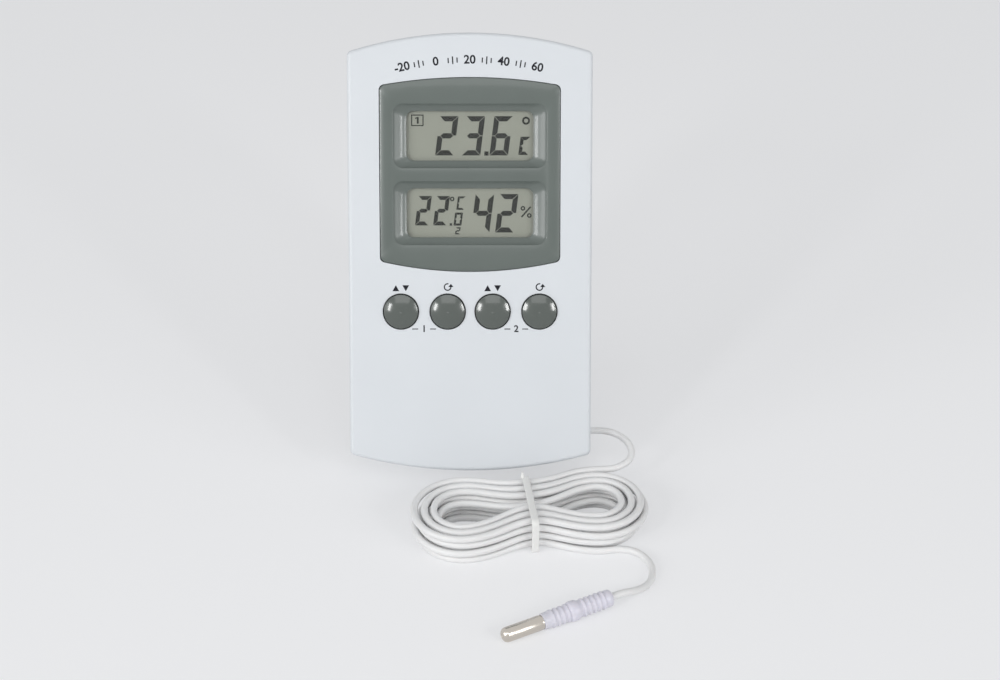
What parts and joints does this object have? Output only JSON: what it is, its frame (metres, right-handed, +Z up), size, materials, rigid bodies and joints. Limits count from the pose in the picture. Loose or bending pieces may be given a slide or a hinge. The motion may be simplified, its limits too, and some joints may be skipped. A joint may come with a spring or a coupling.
{
  "type": "digital thermo-hygrometer",
  "caption": "Leaning digital thermo-hygrometer with two sunk displays, a row of push buttons, a fold-out leg and a probe on a hanked cord.",
  "frame": {"origin": "on the table, under the middle of the leaning housing in width and in depth", "axes": "+X to the right seen from the front, +Y to the back, +Z up; the face leans back by 25 degrees"},
  "size_m": [0.0757, 0.1213, 0.1075],
  "materials": {
    "housing": "pale cool grey, fine satin",
    "bezel": "dark grey-green, smooth gloss",
    "window": "clear",
    "lcd": "grey-green display glass",
    "zebra": "matte pink with dark conductive layers",
    "board": "green solder mask",
    "screw": "bright zinc",
    "switch": "grey",
    "button": "dark grey-green, glossy",
    "plunger": "black",
    "chip": "black resin",
    "crystal": "bright can",
    "board_part": "tan and brown ceramic",
    "sensor": "white",
    "thermistor": "black resin",
    "cell": "printed wrap, plain",
    "contact": "nickel",
    "cord": "pale grey, satin",
    "tie": "white",
    "sleeve": "translucent, faintly violet",
    "tip": "nickel, smooth"
  },
  "bodies": {
    "device": {"front_housing": "housing", "rear_housing": "housing", "display_bezel": "bezel", "upper_window": "window", "lower_window": "window", "upper_lcd": "lcd", "lower_lcd": "lcd", "upper_zebra_strip": "zebra", "lower_zebra_strip": "zebra", "circuit_board": "board", "board_screws": "screw", "key_switches": "switch", "chip_blob": "chip", "timing_crystal": "crystal", "board_parts": "board_part", "humidity_sensor": "sensor", "room_thermistor": "thermistor", "battery_cell": "cell", "battery_spring": "contact", "spring_plate": "contact", "positive_contact": "contact", "housing_screws": "screw", "inner_lead": "cord", "cord_stop": "cord", "sensor_lead": "cord", "sensor_hank": "cord", "sensor_tail": "cord", "hank_tie": "tie", "probe_sleeve": "sleeve", "probe_tip": "tip", "probe_thermistor": "thermistor"},
    "out_memory_key": {"out_memory_button": "button", "out_memory_plunger": "plunger"},
    "out_reset_key": {"out_reset_button": "button", "out_reset_plunger": "plunger"},
    "in_memory_key": {"in_memory_button": "button", "in_memory_plunger": "plunger"},
    "in_reset_key": {"in_reset_button": "button", "in_reset_plunger": "plunger"},
    "leg": {"stand_leg": "housing"},
    "door": {"battery_door": "housing"}
  },
  "joints": [
    {"name": "out_memory_press", "type": "slide", "parent": "device", "child": "out_memory_key", "axis": [0, 0.9063, -0.4226], "range_m": [0, 0.0006], "stiffness_N_per_m": 2500},
    {"name": "out_reset_press", "type": "slide", "parent": "device", "child": "out_reset_key", "axis": [0, 0.9063, -0.4226], "range_m": [0, 0.0006], "stiffness_N_per_m": 2500},
    {"name": "in_memory_press", "type": "slide", "parent": "device", "child": "in_memory_key", "axis": [0, 0.9063, -0.4226], "range_m": [0, 0.0006], "stiffness_N_per_m": 2500},
    {"name": "in_reset_press", "type": "slide", "parent": "device", "child": "in_reset_key", "axis": [0, 0.9063, -0.4226], "range_m": [0, 0.0006], "stiffness_N_per_m": 2500},
    {"name": "leg_fold", "type": "hinge", "parent": "device", "child": "leg", "pos_m": [0, 0.00363, 0.04212], "axis": [-1, 0, 0], "range_deg": [0, 35]},
    {"name": "door_swing", "type": "hinge", "parent": "device", "child": "door", "pos_m": [0, 0.00839, 0.04807], "axis": [-1, 0, 0], "range_deg": [0, 75]}
  ]
}
